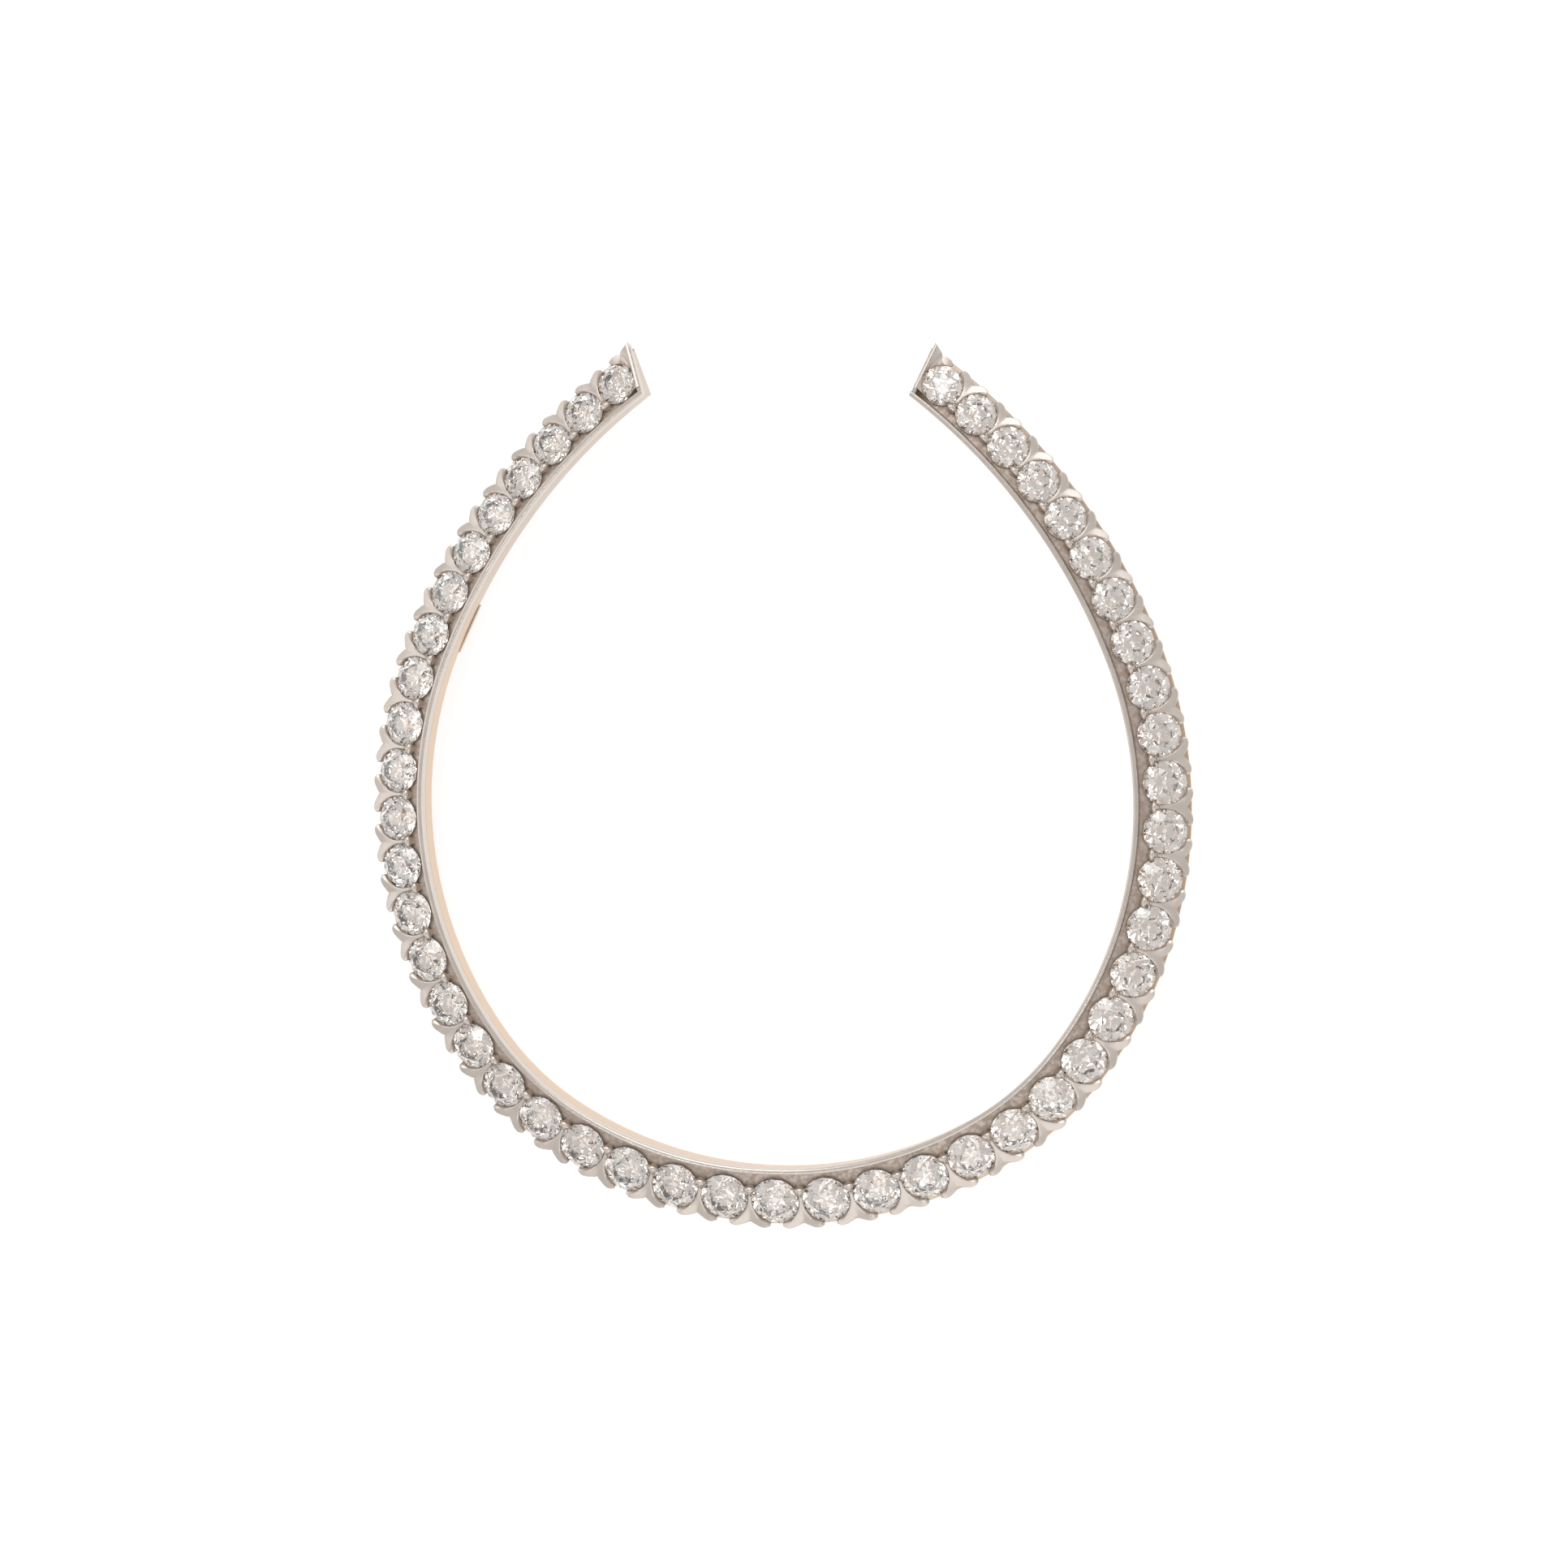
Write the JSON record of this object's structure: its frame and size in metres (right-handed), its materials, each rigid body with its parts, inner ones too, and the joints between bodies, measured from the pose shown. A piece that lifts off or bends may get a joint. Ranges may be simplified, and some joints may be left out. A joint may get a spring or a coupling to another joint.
{
  "type": "horseshoe brooch",
  "caption": "Open horseshoe brooch: one row of round cut stones in a platinum-topped gold band with fishtail claws, a raised inner rail, and a pin fitting hidden behind one arm.",
  "frame": {"origin": "centre of the bounding box in X and Y, at the lowest point of the pin fitting, which is what the brooch rests on", "axes": "+Z out of the brooch's face towards the viewer, +Y towards the open end of the shoe, +X to the viewer's right"},
  "size_m": [0.0412, 0.0436, 0.0035],
  "materials": {
    "platinum": "satin",
    "gold": "satin",
    "diamond": "gloss"
  },
  "bodies": {
    "root": {"platinum_setting": "platinum", "gold_back": "gold", "pin_fitting": "gold", "stone_01": "diamond", "stone_02": "diamond", "stone_03": "diamond", "stone_04": "diamond", "stone_05": "diamond", "stone_06": "diamond", "stone_07": "diamond", "stone_08": "diamond", "stone_09": "diamond", "stone_10": "diamond", "stone_11": "diamond", "stone_12": "diamond", "stone_13": "diamond", "stone_14": "diamond", "stone_15": "diamond", "stone_16": "diamond", "stone_17": "diamond", "stone_18": "diamond", "stone_19": "diamond", "stone_20": "diamond", "stone_21": "diamond", "stone_22": "diamond", "stone_23": "diamond", "stone_24": "diamond", "stone_25": "diamond", "stone_26": "diamond", "stone_27": "diamond", "stone_28": "diamond", "stone_29": "diamond", "stone_30": "diamond", "stone_31": "diamond", "stone_32": "diamond", "stone_33": "diamond", "stone_34": "diamond", "stone_35": "diamond", "stone_36": "diamond", "stone_37": "diamond", "stone_38": "diamond", "stone_39": "diamond", "stone_40": "diamond", "stone_41": "diamond", "stone_42": "diamond", "stone_43": "diamond", "stone_44": "diamond", "stone_45": "diamond", "stone_46": "diamond", "stone_47": "diamond"}
  },
  "joints": []
}
